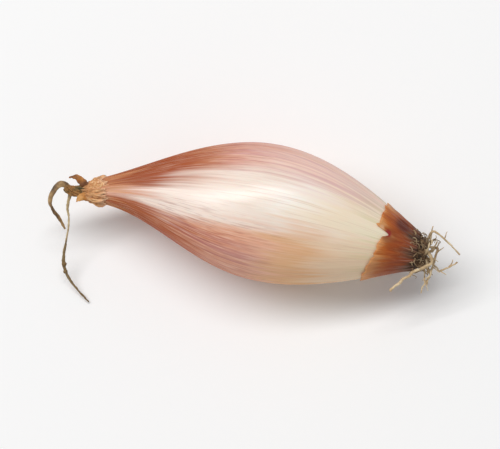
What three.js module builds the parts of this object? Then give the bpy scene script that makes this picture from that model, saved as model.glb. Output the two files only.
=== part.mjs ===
// A banana shallot lying on its side, peeled of its dry skin apart from a torn cup of it at the roots.
//
// Units are millimetres. +X runs from the neck towards the roots and +Z is up. The origin is the middle
// of the small flat spot that the bulb rests on, under its widest place. "Along" is the distance from
// the face of the root plate towards the neck, so it runs against +X. Angles round the bulb start at +Y
// and turn over the top.

import * as THREE from "three";
import { LoftGeometry } from "three/addons/geometries/LoftGeometry.js";

// The bulb's outline
const LENGTH = 84; // face of the root plate to the end of the neck
const WIDTH = 33.6;
const FLATTENING = 0.92; // height over width of the cross-section
const WIDEST_AT = 39.5; // along
const ROOT_END_RADIUS = 3.2;
const ROOT_END_SWELL = 1.05; // power of the swelling from the root end to the widest place
const NECK_RADIUS = 2.5;
const NECK_TAPER = 0.8; // power of the taper from the widest place to the neck
const NECK_CLOSES_FROM = 80.5; // along, where the neck starts to round off
const NECK_CLOSING = 0.42; // share of its radius that it has lost at its end
const ROOT_BOW = 2.8; // how far the root end of the centre line lies to the -Y side of its crest
const NECK_BOW = 3.6; // how far its neck end does
const BOW_CREST_AT = 54; // along
const BOW_POWER = 2.6;
const REST_FLAT_DEPTH = 0.45; // how far the underside is pressed flat
const AXIS_HEIGHT = (WIDTH / 2) * FLATTENING - REST_FLAT_DEPTH;

// Pieces on the bulb
const GAP = 0.3; // left between pieces that touch
const SKIN_THICKNESS = 0.3;
const COLLAR_FROM = 78.5; // along, its edge on the bulb
const COLLAR_SLANT = 1.2; // how much nearer the neck that edge is on the +Y side
const COLLAR_TO = 84; // along, its free edge
const COLLAR_RAGGED = 0.4; // how far its edges wander
const PLATE_DEPTH = 3.2; // along, from the face of the root plate to the flesh
const PLATE_RIM = 0.45; // how far the root plate stands outside the bulb's outline
const PLATE_RADIUS = ROOT_END_RADIUS + PLATE_RIM;
const PLATE_TOP = 0.3; // out along +X at the middle of its dome
const PLATE_DOME = 1.1; // rise of its face from the rim to the middle
const PLATE_DOME_POWER = 0.7; // under 1 keeps the dome broad
const PLATE_DOME_STEPS = 4;

// Facets
const BULB_RINGS = 48;
const BULB_SIDES = 44;
const SKIN_SIDES = 60;
const SKIN_STEPS = 4;
const COLLAR_SIDES = 28;
const COLLAR_STEPS = 5;
const PLATE_SIDES = 28;
const STRAND_SIDES = 6;

// Where the dry skin is torn off: angle round the bulb in degrees, and along.
const SKIN_TEAR = [
  [20, 11.2],
  [46, 11.7],
  [66, 12.3],
  [84, 12.0],
  [96, 11.2],
  [113, 12.2],
  [136, 13.0],
  [167, 14.1],
  [196, 14.4],
  [225, 12.6],
  [258, 11.0],
  [287, 12.4],
  [318, 12.9],
  [344, 11.6],
];

// Long roots: the points of each as [out, side, up] from the middle of the root plate's face, where out
// is +X and side is +Y, and its radii at the plate and at the tip.
const LONG_ROOTS = [
  [[[0.6, 0.3, 2.9], [1.6, -2.8, 4.3], [-2.4, -5.9, 2.8], [-5.9, -9.4, 0.9], [-6.8, -10.7, 0]], 0.42, 0.3],
  [[[0.7, 1.9, 0.9], [2.4, 1.3, 2.3], [2.3, -1.2, 2.5], [2.0, -4.3, 1.9], [1.5, -7.4, 0.2]], 0.34, 0.22],
  [[[0.5, 2.9, 0.8], [0.4, 5.2, 2.4], [2.4, 4.6, 2.6], [5.4, 3.1, 1.5], [8.0, 1.4, 0.4]], 0.32, 0.18],
  [[[0.9, -0.7, -0.9], [2.9, -2.5, -0.5], [4.3, -3.4, 0.5], [7.8, -0.8, 1.9]], 0.26, 0.18],
  [[[0.7, -2.2, -0.4], [1.9, -4.8, -0.3], [0.9, -7.0, -2.0], [0.6, -8.6, -4.6]], 0.26, 0.16],
];

// Short dry roots, spread over the plate by the golden angle
const SHORT_ROOTS = 12;
const GOLDEN_ANGLE = THREE.MathUtils.degToRad(137.508);
const GOLDEN_SHARE = 0.618034; // spreads the lengths evenly
const SHORT_ROOT_FIRST_CIRCLE = 0.7; // radius of the circle that the innermost root stands on
const SHORT_ROOT_LAST_CIRCLE = 3.7;
const SHORT_ROOT_LENGTH = 2.8;
const SHORT_ROOT_EXTRA = 2.6; // the longest has this much more
const SHORT_ROOT_RADIUS = 0.28; // at the plate
const SHORT_ROOT_CURL = 0.9; // sideways, to alternate sides
const SHORT_ROOT_SAG = 0.35; // share of its rise that it loses by the tip
const SHORT_ROOT_FIRST_BEARING = THREE.MathUtils.degToRad(167);

// Dry remains at the neck: points as [out, side, up] from the middle of the neck's end, where out is -X
// and side is +Y, and radii at the neck and at the tip.
const STUB = [[0.7, 0, 0], [2.1, -0.3, -0.1], [3.6, -0.4, 0], [5.0, 0.1, 0.3]];
const STUB_RADII = [1.3, 0.9];
const CURL = [
  [5.9, 0.5, 0.5],
  [7.3, -1.4, 0.3],
  [7.7, -3.9, -0.9],
  [7.0, -5.4, -2.0],
  [5.2, -6.9, -3.6],
  [3.4, -8.8, -5.6],
];
const CURL_RADII = [0.7, 0.28];
const THREAD = [
  [3.5, -2.2, -0.9],
  [3.4, -4.5, -1.5],
  [2.6, -6.9, -2.7],
  [2.5, -11.1, -5.8],
  [2.7, -14.1, -8.4],
  [2.1, -17.2, -10.8],
  [0.5, -19.5, -12.6],
  [-1.7, -21.3, -13.7],
  [-5.2, -23.7, -14.4],
];
const THREAD_RADII = [0.5, 0.3];
const SCRAPS = [
  [[1.4, 2.0, 1.6], [2.7, 2.6, 2.0], [4.3, 2.3, 1.7]],
  [[0.6, -2.1, 1.2], [1.1, -2.6, 1.1], [1.5, -3.2, 0.8]],
];
const SCRAP_RADII = [0.65, 0.25];

const FINISHES = {
  flesh: { color: 0xe6cdb4, roughness: 0.4 },
  drySkin: { color: 0xa85a2e, roughness: 0.55 },
  crust: { color: 0x3a2c20, roughness: 0.95 },
  longRoot: { color: 0xc9ab82, roughness: 0.8 },
  shortRoot: { color: 0x9a8058, roughness: 0.85 },
  papery: { color: 0xcaa173, roughness: 0.75 },
  withered: { color: 0x5a4a2c, roughness: 0.8 },
  driedLeaf: { color: 0x927b4a, roughness: 0.75 },
};

const shallot = new THREE.Group();

function addPiece(name, geometry, finish) {
  const material = new THREE.MeshStandardMaterial({ ...finish, metalness: 0 });
  const mesh = new THREE.Mesh(geometry, material);
  mesh.name = name;
  shallot.add(mesh);
}

// Half the bulb's width: it swells from the root end to the widest place, tapers to the neck and rounds off.
function outlineRadius(along) {
  const widest = WIDTH / 2;
  if (along < WIDEST_AT) {
    const rise = Math.sin((Math.max(along, 0) / WIDEST_AT) * (Math.PI / 2));
    return ROOT_END_RADIUS + (widest - ROOT_END_RADIUS) * rise ** ROOT_END_SWELL;
  }
  const fall = Math.min((along - WIDEST_AT) / (LENGTH - WIDEST_AT), 1);
  const closed = Math.min(Math.max((along - NECK_CLOSES_FROM) / (LENGTH - NECK_CLOSES_FROM), 0), 1);
  const neck = NECK_RADIUS + (widest - NECK_RADIUS) * (0.5 + 0.5 * Math.cos(Math.PI * fall)) ** NECK_TAPER;
  return neck * (1 - NECK_CLOSING * closed ** 2);
}

function bowAt(along) {
  const [bow, end] = along < BOW_CREST_AT ? [ROOT_BOW, 0] : [NECK_BOW, LENGTH];
  return -bow * Math.abs((along - BOW_CREST_AT) / (end - BOW_CREST_AT)) ** BOW_POWER;
}

// The bulb's centre line, which passes over the origin at the widest place.
function centreY(along) {
  return bowAt(along) - bowAt(WIDEST_AT);
}

// A point round the centre line, where the section is as wide as the radius and flattened in height.
function ringPoint(along, angle, radius, clearance = 0) {
  return new THREE.Vector3(
    WIDEST_AT - along,
    centreY(along) + (radius + clearance) * Math.cos(angle),
    AXIS_HEIGHT + (radius * FLATTENING + clearance) * Math.sin(angle),
  );
}

function outlinePoint(along, angle, clearance = 0) {
  return ringPoint(along, angle, outlineRadius(along), clearance);
}

// The angles of a ring's corners, half a step off so that a side, not a corner, is lowest.
function ringAngles(sides) {
  return Array.from({ length: sides }, (_, i) => ((i + 0.5) / sides) * 2 * Math.PI);
}

function bulbGeometry() {
  const angles = ringAngles(BULB_SIDES);
  const sections = [];
  for (let i = 0; i <= BULB_RINGS; i++) {
    const along = LENGTH - ((LENGTH - PLATE_DEPTH) * i) / BULB_RINGS;
    const ring = angles.map((angle) => outlinePoint(along, angle));
    ring.forEach((point) => {
      point.z = Math.max(point.z, 0);
    });
    sections.push(ring);
  }
  return new LoftGeometry(sections, { closed: true, capStart: true, capEnd: true });
}

// A thin skin round the bulb between two ragged edges, each a function from the angle to along: the
// cross-section of its wall is carried once round the bulb.
function skinGeometry(rootEdge, neckEdge, sides, steps) {
  const sections = [...ringAngles(sides), ringAngles(sides)[0]].map((angle) => {
    const from = rootEdge(angle);
    const to = neckEdge(angle);
    const wall = [];
    for (let i = 0; i <= steps; i++) {
      wall.push(outlinePoint(to + ((from - to) * i) / steps, angle, GAP));
    }
    for (let i = 0; i <= steps; i++) {
      wall.push(outlinePoint(from + ((to - from) * i) / steps, angle, GAP + SKIN_THICKNESS));
    }
    return wall;
  });
  return new LoftGeometry(sections, { closed: true, capStart: false, capEnd: false });
}

// The torn edge as a smooth closed curve through the points of SKIN_TEAR.
function tearAt(angle) {
  const degrees = (THREE.MathUtils.radToDeg(angle) - SKIN_TEAR[0][0] + 360) % 360;
  const turns = SKIN_TEAR.map(([at]) => at - SKIN_TEAR[0][0]);
  const next = turns.findIndex((at) => at > degrees);
  const after = next < 0 ? SKIN_TEAR.length : next;
  const start = turns[after - 1];
  const end = after === SKIN_TEAR.length ? 360 : turns[after];
  const share = THREE.MathUtils.smoothstep(degrees, start, end);
  return THREE.MathUtils.lerp(SKIN_TEAR[after - 1][1], SKIN_TEAR[after % SKIN_TEAR.length][1], share);
}

// How far the root plate's dome stands out along +X at a distance from its middle.
function domeOut(radius) {
  const share = Math.min(radius / PLATE_RADIUS, 1) ** (1 / PLATE_DOME_POWER);
  return PLATE_DOME * (Math.sqrt(1 - share ** 2) - 1) + PLATE_TOP;
}

// The corky disc that the bulb's scales and roots grow from, filling its root end under a low dome.
function rootPlateGeometry() {
  const angles = ringAngles(PLATE_SIDES);
  const sections = [PLATE_DEPTH - GAP, PLATE_DOME].map((along) =>
    angles.map((angle) => outlinePoint(along, angle, PLATE_RIM)),
  );
  for (let i = 0; i < PLATE_DOME_STEPS; i++) {
    const lean = ((i + 0.5) / PLATE_DOME_STEPS) * (Math.PI / 2);
    const radius = PLATE_RADIUS * Math.cos(lean) ** PLATE_DOME_POWER;
    sections.push(angles.map((angle) => ringPoint(-domeOut(radius), angle, radius)));
  }
  return new LoftGeometry(sections, { closed: true, capStart: true, capEnd: true });
}

// A strand along a curve, tapering between two radii, whose section is wider than thick by the flatness.
function strandGeometry(points, startRadius, tipRadius, shape) {
  const { steps, sides, flatness } = { steps: 10, sides: STRAND_SIDES, flatness: 1, ...shape };
  const curve = new THREE.CatmullRomCurve3(points);
  const { normals, binormals } = curve.computeFrenetFrames(steps);
  const angles = ringAngles(sides);
  const sections = normals.map((normal, i) => {
    const radius = THREE.MathUtils.lerp(startRadius, tipRadius, i / steps);
    const centre = curve.getPointAt(i / steps);
    return angles.map((angle) =>
      centre
        .clone()
        .addScaledVector(normal, (radius / flatness) * Math.cos(angle))
        .addScaledVector(binormals[i], radius * Math.sin(angle)),
    );
  });
  return new LoftGeometry(sections, { closed: true, capStart: true, capEnd: true });
}

function fromPlate([out, side, up]) {
  return new THREE.Vector3(WIDEST_AT + out, centreY(0) + side, AXIS_HEIGHT + up);
}

function fromNeck([out, side, up]) {
  return new THREE.Vector3(WIDEST_AT - LENGTH - out, centreY(LENGTH) + side, AXIS_HEIGHT + up);
}

// A short root leaves the plate square to its dome: the nearer to the rim, the more it leans outwards.
function shortRootPoints(index) {
  const spread = SHORT_ROOT_LAST_CIRCLE - SHORT_ROOT_FIRST_CIRCLE;
  const circle = SHORT_ROOT_FIRST_CIRCLE + spread * Math.sqrt(index / SHORT_ROOTS);
  const bearing = SHORT_ROOT_FIRST_BEARING + index * GOLDEN_ANGLE;
  const length = SHORT_ROOT_LENGTH + SHORT_ROOT_EXTRA * ((index * GOLDEN_SHARE) % 1);
  const lean = (circle / SHORT_ROOT_LAST_CIRCLE) * (Math.PI / 2);
  const curl = index % 2 ? SHORT_ROOT_CURL : -SHORT_ROOT_CURL;
  const base = domeOut(circle) + GAP + SHORT_ROOT_RADIUS * Math.sin(lean);
  return [0, 0.35, 0.7, 1].map((share) => {
    const reach = length * share;
    const radial = circle + reach * Math.sin(lean);
    const turn = bearing + (curl * share * reach) / (circle + length);
    const out = base + reach * Math.cos(lean) * (1 - SHORT_ROOT_SAG * share);
    return fromPlate([out, radial * Math.cos(turn), radial * FLATTENING * Math.sin(turn)]);
  });
}

function collarBulbEdge(angle) {
  return COLLAR_FROM + COLLAR_SLANT * Math.cos(angle) + COLLAR_RAGGED * Math.sin(3 * angle);
}

function collarFreeEdge(angle) {
  return COLLAR_TO + COLLAR_RAGGED * (Math.cos(angle - 1) + Math.sin(4 * angle));
}

function rootName(number) {
  return `root_${String(number).padStart(2, "0")}`;
}

addPiece("bulb", bulbGeometry(), FINISHES.flesh);

const tornSkin = skinGeometry(() => PLATE_DEPTH + GAP, tearAt, SKIN_SIDES, SKIN_STEPS);
addPiece("torn_skin", tornSkin, FINISHES.drySkin);

addPiece("root_plate", rootPlateGeometry(), FINISHES.crust);

LONG_ROOTS.forEach(([points, plateRadius, tipRadius], i) => {
  const root = strandGeometry(points.map(fromPlate), plateRadius, tipRadius, { steps: 12 });
  addPiece(rootName(i + 1), root, FINISHES.longRoot);
});

for (let i = 0; i < SHORT_ROOTS; i++) {
  const root = strandGeometry(shortRootPoints(i), SHORT_ROOT_RADIUS, SHORT_ROOT_RADIUS / 2, { steps: 6 });
  addPiece(rootName(LONG_ROOTS.length + i + 1), root, FINISHES.shortRoot);
}

const collar = skinGeometry(collarBulbEdge, collarFreeEdge, COLLAR_SIDES, COLLAR_STEPS);
addPiece("neck_collar", collar, FINISHES.papery);

const stub = strandGeometry(STUB.map(fromNeck), ...STUB_RADII, { sides: 8 });
addPiece("neck_stub", stub, FINISHES.withered);

const curl = strandGeometry(CURL.map(fromNeck), ...CURL_RADII, { steps: 18, flatness: 1.6 });
addPiece("dry_leaf_curl", curl, FINISHES.driedLeaf);

const thread = strandGeometry(THREAD.map(fromNeck), ...THREAD_RADII, { steps: 26, flatness: 1.4 });
addPiece("dry_leaf_thread", thread, FINISHES.driedLeaf);

SCRAPS.forEach((points, i) => {
  const scrap = strandGeometry(points.map(fromNeck), ...SCRAP_RADII, { steps: 6, flatness: 2 });
  addPiece(`dry_leaf_scrap_${i + 1}`, scrap, FINISHES.papery);
});

export default shallot;
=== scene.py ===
"""A half-peeled banana shallot lying on its side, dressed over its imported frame."""

import math
import random

import bpy
from mathutils import Matrix, Vector, noise


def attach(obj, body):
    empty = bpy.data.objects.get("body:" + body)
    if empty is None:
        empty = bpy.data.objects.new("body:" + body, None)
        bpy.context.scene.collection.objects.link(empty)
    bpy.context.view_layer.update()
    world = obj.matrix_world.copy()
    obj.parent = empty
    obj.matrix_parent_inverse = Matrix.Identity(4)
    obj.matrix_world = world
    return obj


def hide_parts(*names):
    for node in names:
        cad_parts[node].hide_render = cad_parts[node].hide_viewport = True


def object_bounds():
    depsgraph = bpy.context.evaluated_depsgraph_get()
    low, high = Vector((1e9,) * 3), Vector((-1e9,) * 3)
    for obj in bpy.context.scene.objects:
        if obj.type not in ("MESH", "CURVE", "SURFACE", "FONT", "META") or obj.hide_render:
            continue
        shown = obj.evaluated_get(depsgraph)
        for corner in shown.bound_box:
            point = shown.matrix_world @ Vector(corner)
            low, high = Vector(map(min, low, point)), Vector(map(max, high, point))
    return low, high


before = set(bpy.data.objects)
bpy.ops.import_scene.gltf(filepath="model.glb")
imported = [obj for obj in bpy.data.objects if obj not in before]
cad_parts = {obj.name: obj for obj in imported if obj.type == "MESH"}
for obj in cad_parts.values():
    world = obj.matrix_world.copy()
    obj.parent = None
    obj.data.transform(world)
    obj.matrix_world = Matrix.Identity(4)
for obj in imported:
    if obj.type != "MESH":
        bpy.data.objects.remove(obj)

cad_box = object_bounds()


# Camera
# A long lens more than half a metre off, which looks down on the shallot from the side that its long
# roots and its leaf thread fall to.

MM = 0.001
VIEW_AZIMUTH = math.radians(11.4)
VIEW_ELEVATION = math.radians(75)
VIEW_DISTANCE = 0.62
VIEW_WIDTH = 0.121  # what the frame takes in at the shallot
VIEW_SHIFT = Vector((-1.0, 1.5, 0)) * MM  # from the middle of the shallot
SENSOR_WIDTH = 36.0

view_centre = (cad_box[0] + cad_box[1]) / 2 + VIEW_SHIFT
view_back = Vector((
    math.sin(VIEW_AZIMUTH) * math.cos(VIEW_ELEVATION),
    -math.cos(VIEW_AZIMUTH) * math.cos(VIEW_ELEVATION),
    math.sin(VIEW_ELEVATION),
))
bpy.ops.object.camera_add(location=view_centre + view_back * VIEW_DISTANCE)
camera = bpy.context.object
camera.rotation_euler = view_back.to_track_quat("Z", "Y").to_euler()
camera.data.sensor_width = SENSOR_WIDTH
camera.data.lens = SENSOR_WIDTH * VIEW_DISTANCE / VIEW_WIDTH
bpy.context.scene.camera = camera


# Studio
# A matt white table in a white room, under one long narrow soft lamp. The lamp hangs askew to the
# shallot, from far out over its neck end to beyond its far side.

TABLE_SIZE = 12.0
TABLE_WHITE = 0.97
LAMP_DISTANCE = 2.4
LAMP_TOWARDS = Vector((-0.34, 0.17, 0.90)).normalized()
LAMP_LONG_WAY = Vector((0.73, 0.59, 0.31))
LAMP_LENGTH = 3.4
LAMP_WIDTH = 0.6
LAMP_POWER = 46.0
ROOM_BRIGHTNESS = 0.36


def start_material(name):
    """An empty node material."""
    material = bpy.data.materials.new(name)
    material.use_nodes = True
    material.node_tree.nodes.clear()
    return material


def add_node(material, kind, inputs=None, **settings):
    """Adds a shader node; an input is a constant or the socket that feeds it."""
    made = material.node_tree.nodes.new(kind)
    for name, value in settings.items():
        setattr(made, name, value)
    for name, value in (inputs or {}).items():
        if isinstance(value, bpy.types.NodeSocket):
            material.node_tree.links.new(value, made.inputs[name])
        else:
            made.inputs[name].default_value = value
    return made


def maths(material, kind, first, *others):
    """Numbers or sockets added, multiplied or compared, one after another."""
    for other in others:
        first = add_node(material, "ShaderNodeMath", {0: first, 1: other}, operation=kind).outputs[0]
    return first


def give_material(material, *pieces):
    """Gives the pieces a material in the place of any that they have."""
    for piece in pieces:
        piece.data.materials.clear()
        piece.data.materials.append(material)


def finish_material(material, shader, *pieces):
    """Sends the shader to the output and gives the material to the pieces."""
    add_node(material, "ShaderNodeOutputMaterial", {"Surface": shader.outputs[0]})
    give_material(material, *pieces)


bpy.ops.mesh.primitive_plane_add(size=TABLE_SIZE, location=(0, 0, 0))
table = bpy.context.object
table.name = "table"
table_paint = start_material("table_paint")
table_shader = add_node(
    table_paint, "ShaderNodeBsdfDiffuse", {"Color": (TABLE_WHITE, TABLE_WHITE, TABLE_WHITE, 1)}
)
finish_material(table_paint, table_shader, table)

bpy.ops.object.light_add(type="AREA", location=view_centre + LAMP_TOWARDS * LAMP_DISTANCE)
lamp = bpy.context.object
lamp.name = "soft_lamp"
lamp_across = LAMP_LONG_WAY.cross(LAMP_TOWARDS).normalized()
lamp_axes = Matrix((lamp_across, LAMP_TOWARDS.cross(lamp_across), LAMP_TOWARDS)).transposed()
lamp.rotation_euler = lamp_axes.to_euler()
lamp.data.shape = "ELLIPSE"
lamp.data.size = LAMP_WIDTH
lamp.data.size_y = LAMP_LENGTH
lamp.data.energy = LAMP_POWER

room = bpy.data.worlds.new("white_room")
room.use_nodes = True
room.node_tree.nodes.clear()
bpy.context.scene.world = room
ray = add_node(room, "ShaderNodeLightPath").outputs
seen = maths(room, "MAXIMUM", ray["Is Camera Ray"], ray["Is Glossy Ray"], ray["Is Transmission Ray"])
brightness = add_node(
    room, "ShaderNodeMapRange", {"Value": seen, "To Min": ROOM_BRIGHTNESS, "To Max": 1.0}
)
room_light = add_node(
    room, "ShaderNodeBackground", {"Color": (1, 1, 1, 1), "Strength": brightness.outputs[0]}
)
add_node(room, "ShaderNodeOutputWorld", {"Surface": room_light.outputs[0]})

bpy.context.scene.view_settings.view_transform = "Standard"


# Bulb
# The fleshy scales of the peeled shallot, grown as one body: moist satin skin with fine lengthwise veins
# and short dashes, cream near the roots, pink and lilac at the middle and terracotta towards the neck. Its
# pale crown is partly painted highlight, and its darker flanks towards the neck are partly painted shade.

LENGTH = 84 * MM  # face of the root plate to the end of the neck
WIDTH = 33.6 * MM
FLATTENING = 0.92  # height over width of the cross-section
WIDEST_AT = 39.5 * MM  # from the face of the root plate
ROOT_END_RADIUS = 3.2 * MM
ROOT_END_SWELL = 1.05
NECK_RADIUS = 2.5 * MM
NECK_TAPER = 0.8
NECK_CLOSES_FROM = 80.5 * MM  # where the neck starts to round off
NECK_CLOSING = 0.42
ROOT_BOW = 2.8 * MM  # how far the centre line's ends lie to the -Y side of its crest
NECK_BOW = 3.6 * MM
BOW_CREST_AT = 54 * MM
BOW_POWER = 2.6
REST_FLAT_DEPTH = 0.45 * MM
AXIS_HEIGHT = WIDTH / 2 * FLATTENING - REST_FLAT_DEPTH
FLESH_FROM = 2.6 * MM  # it starts inside the root plate
BULB_SIDES = 72
BULB_RINGS = 56
CLOSING_RINGS = (0.7, 0.5)  # how far each ring draws in where an end is closed
SKIN_SHARE = 0.8  # of the radius: what lies further in belongs to a closed end
RIM_TOLERANCE = 0.01 * MM


def part_way(low, high, value):
    """How far a value has come from low to high, from 0 to 1."""
    return min(max((value - low) / (high - low), 0), 1)


def smooth_step(low, high, value):
    """How far a value has come from low to high, starting and ending gently."""
    share = part_way(low, high, value)
    return share * share * (3 - 2 * share)


def outline_radius(along):
    """Half the bulb's width at a distance from the root plate's face."""
    widest = WIDTH / 2
    if along < WIDEST_AT:
        rise = math.sin(part_way(0, WIDEST_AT, along) * math.pi / 2)
        return ROOT_END_RADIUS + (widest - ROOT_END_RADIUS) * rise ** ROOT_END_SWELL
    fall = 0.5 + 0.5 * math.cos(math.pi * part_way(WIDEST_AT, LENGTH, along))
    neck = NECK_RADIUS + (widest - NECK_RADIUS) * fall ** NECK_TAPER
    return neck * (1 - NECK_CLOSING * part_way(NECK_CLOSES_FROM, LENGTH, along) ** 2)


def bow_at(along):
    """Where the centre line lies, to the side of its crest."""
    bow, end = (ROOT_BOW, 0) if along < BOW_CREST_AT else (NECK_BOW, LENGTH)
    return -bow * abs((along - BOW_CREST_AT) / (end - BOW_CREST_AT)) ** BOW_POWER


def centre_y(along):
    """The side place of the bulb's slightly bowed centre line."""
    return bow_at(along) - bow_at(WIDEST_AT)


def skin_point(along, angle, out=0.0):
    """A point on the skin, or so far out of it; angles start at +Y and turn over the top."""
    radius = outline_radius(along)
    return Vector((
        WIDEST_AT - along,
        centre_y(along) + (radius + out) * math.cos(angle),
        AXIS_HEIGHT + (radius * FLATTENING + out) * math.sin(angle),
    ))


def angle_at(point, along):
    """The angle round the centre line at which a point lies."""
    return math.atan2((point.z - AXIS_HEIGHT) / FLATTENING, point.y - centre_y(along))


def radius_at(point, along):
    """Half the width of the oval round the centre line on which a point lies."""
    return math.hypot(point.y - centre_y(along), (point.z - AXIS_HEIGHT) / FLATTENING)


def ripple(*numbers):
    """Smooth noise from about -1 to 1 at a place given by up to three numbers."""
    return noise.noise(Vector((*numbers, 0, 0)[:3]))


def start_tube(name, along, sides):
    """An oval ring round the bulb's centre line, left in edit mode with all of it selected."""
    bpy.ops.object.select_all(action="DESELECT")
    bpy.ops.mesh.primitive_circle_add(
        vertices=sides,
        radius=outline_radius(along),
        location=(WIDEST_AT - along, centre_y(along), AXIS_HEIGHT),
        rotation=(0, math.pi / 2, 0),
    )
    tube = bpy.context.object
    tube.name = name
    bpy.ops.object.transform_apply(location=True, rotation=True, scale=True)
    bpy.ops.object.mode_set(mode="EDIT")
    bpy.ops.mesh.select_all(action="SELECT")
    bpy.ops.transform.resize(value=(1, 1, FLATTENING), center_override=(0, 0, AXIS_HEIGHT))
    return tube


def extrude_ring(before, after, growth):
    """Extrudes the selected ring one step along the bulb and swells or shrinks it."""
    step = (before - after, centre_y(after) - centre_y(before), 0)
    bpy.ops.mesh.extrude_region_move(TRANSFORM_OT_translate={"value": step})
    bpy.ops.transform.resize(
        value=(1, growth, growth), center_override=(0, centre_y(after), AXIS_HEIGHT)
    )


def open_tube(name, first, last, steps, sides):
    """A tube that follows the bulb from first to last, left in edit mode."""
    tube = start_tube(name, first, sides)
    stations = [first + (last - first) * i / steps for i in range(steps + 1)]
    for before, after in zip(stations, stations[1:]):
        extrude_ring(before, after, outline_radius(after) / outline_radius(before))
    return tube


def close_tube_end():
    """Draws the selected ring inwards twice and closes it at a pole."""
    for growth in CLOSING_RINGS:
        bpy.ops.mesh.extrude_region_move(TRANSFORM_OT_translate={"value": (0, 0, 0)})
        bpy.ops.transform.resize(value=(1, growth, growth))
    bpy.ops.mesh.extrude_region_move(TRANSFORM_OT_translate={"value": (0, 0, 0)})
    bpy.ops.mesh.merge(type="CENTER")


def select_rim(piece, on_rim):
    """Selects the corners that the test finds, and the edges between them."""
    bpy.ops.object.mode_set(mode="OBJECT")
    for vertex in piece.data.vertices:
        vertex.select = on_rim(vertex.co)
    for edge in piece.data.edges:
        edge.select = all(piece.data.vertices[i].select for i in edge.vertices)
    bpy.ops.object.mode_set(mode="EDIT")


def finish_mesh(piece, levels=0):
    """Leaves edit mode with faces outwards, subdivides if asked and shades smooth."""
    bpy.ops.mesh.select_all(action="SELECT")
    bpy.ops.mesh.normals_make_consistent(inside=False)
    bpy.ops.object.mode_set(mode="OBJECT")
    if levels:
        fineness = piece.modifiers.new("fineness", "SUBSURF")
        fineness.levels = fineness.render_levels = levels
        bpy.ops.object.modifier_apply(modifier=fineness.name)
    bpy.ops.object.shade_smooth()


def flesh_relief(along, angle):
    """The swell of single veins and the soft ribs of the outermost scale, and pleats at the neck."""
    side, up = math.cos(angle), math.sin(angle)
    share = along / LENGTH
    ribs = ripple(share * 1.6, side * 4.5, up * 4.5) * 0.11
    veins = ripple(share * 2.0 + 7, side * 15, up * 15) * 0.035
    dents = ripple(share * 5 + 3, side * 1.6, up * 1.6) * 0.12
    pleats = ripple(share * 3 + 11, side * 5, up * 5) * 0.35 * smooth_step(0.80, 1.0, share)
    return (ribs + veins + dents + pleats) * MM


bulb = open_tube("shallot_bulb", FLESH_FROM, LENGTH, BULB_RINGS, BULB_SIDES)
close_tube_end()
select_rim(bulb, lambda corner: abs(corner.x - (WIDEST_AT - FLESH_FROM)) < RIM_TOLERANCE)
close_tube_end()
finish_mesh(bulb, levels=2)

fibre = bulb.data.attributes.new("fibre", "FLOAT_VECTOR", "POINT")
for vertex in bulb.data.vertices:
    along = min(max(WIDEST_AT - vertex.co.x, FLESH_FROM), LENGTH)
    angle = angle_at(vertex.co, along)
    if radius_at(vertex.co, along) > SKIN_SHARE * outline_radius(along):
        vertex.co = skin_point(along, angle, flesh_relief(along, angle))
    vertex.co.z = max(vertex.co.z, 0)  # the small flat that it rests on
    fibre.data[vertex.index].vector = (along / LENGTH, math.cos(angle), math.sin(angle))


def paint(code):
    """A colour from its usual six-letter code, as the linear values that shaders take."""
    shades = [int(code[i:i + 2], 16) / 255 for i in (0, 2, 4)]
    return (*(s / 12.92 if s <= 0.04045 else ((s + 0.055) / 1.055) ** 2.4 for s in shades), 1)


def own_place(material, attribute):
    """A piece's own coordinates, along it and round it."""
    return add_node(material, "ShaderNodeAttribute", attribute_name=attribute).outputs["Vector"]


def split(material, place):
    """The three numbers of a place."""
    return add_node(material, "ShaderNodeSeparateXYZ", {0: place}).outputs


def speckles(material, place, scale, detail, roughness=0.5):
    """Noise with so many lumps to a unit of the place."""
    return add_node(
        material,
        "ShaderNodeTexNoise",
        {"Vector": place, "Scale": scale, "Detail": detail, "Roughness": roughness},
    ).outputs[0]


def along_pattern(material, attribute, scales, detail, roughness=0.5, shift=0.0, warp=None):
    """Noise on a piece's own coordinates, stretched by the three scales so that it runs in lines."""
    place = own_place(material, attribute)
    if warp is not None:
        place = add_node(
            material, "ShaderNodeVectorMath", {0: place, 1: warp}, operation="ADD"
        ).outputs[0]
    stretched = add_node(
        material,
        "ShaderNodeMapping",
        {"Vector": place, "Scale": scales, "Location": (shift, shift * 0.7, -shift)},
    )
    return speckles(material, stretched.outputs[0], 1.0, detail, roughness)


def layered(material, broad, fine, share):
    """A broad pattern with a share of a finer one on top."""
    return maths(material, "ADD", broad, maths(material, "MULTIPLY", fine, share))


def spread(material, value, low, high, to_low=0.0, to_high=1.0):
    """Eases a value from one range into another."""
    return add_node(
        material,
        "ShaderNodeMapRange",
        {"Value": value, "From Min": low, "From Max": high, "To Min": to_low, "To Max": to_high},
        interpolation_type="SMOOTHSTEP",
    ).outputs[0]


def ramp(material, value, stops):
    """A colour ramp through (place, colour code) stops."""
    made = add_node(material, "ShaderNodeValToRGB", {"Fac": value})
    elements = made.color_ramp.elements
    while len(elements) < len(stops):
        elements.new(0.5)
    for element, (place, code) in zip(elements, stops):
        element.position = place
        element.color = paint(code)
    return made.outputs[0]


def blend(material, share, below, code):
    """A colour that gives way by a share to another, which is a socket or a colour code."""
    made = add_node(material, "ShaderNodeMix", data_type="RGBA")
    for place, value in ((0, share), (6, below), (7, code)):
        if isinstance(value, bpy.types.NodeSocket):
            material.node_tree.links.new(value, made.inputs[place])
        else:
            made.inputs[place].default_value = paint(value) if isinstance(value, str) else value
    return made.outputs[2]


def bumps(material, height, strength, deep):
    """The normal of a skin with dents and ridges as high as a pattern says."""
    return add_node(
        material, "ShaderNodeBump", {"Height": height, "Strength": strength, "Distance": deep}
    ).outputs[0]


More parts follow.
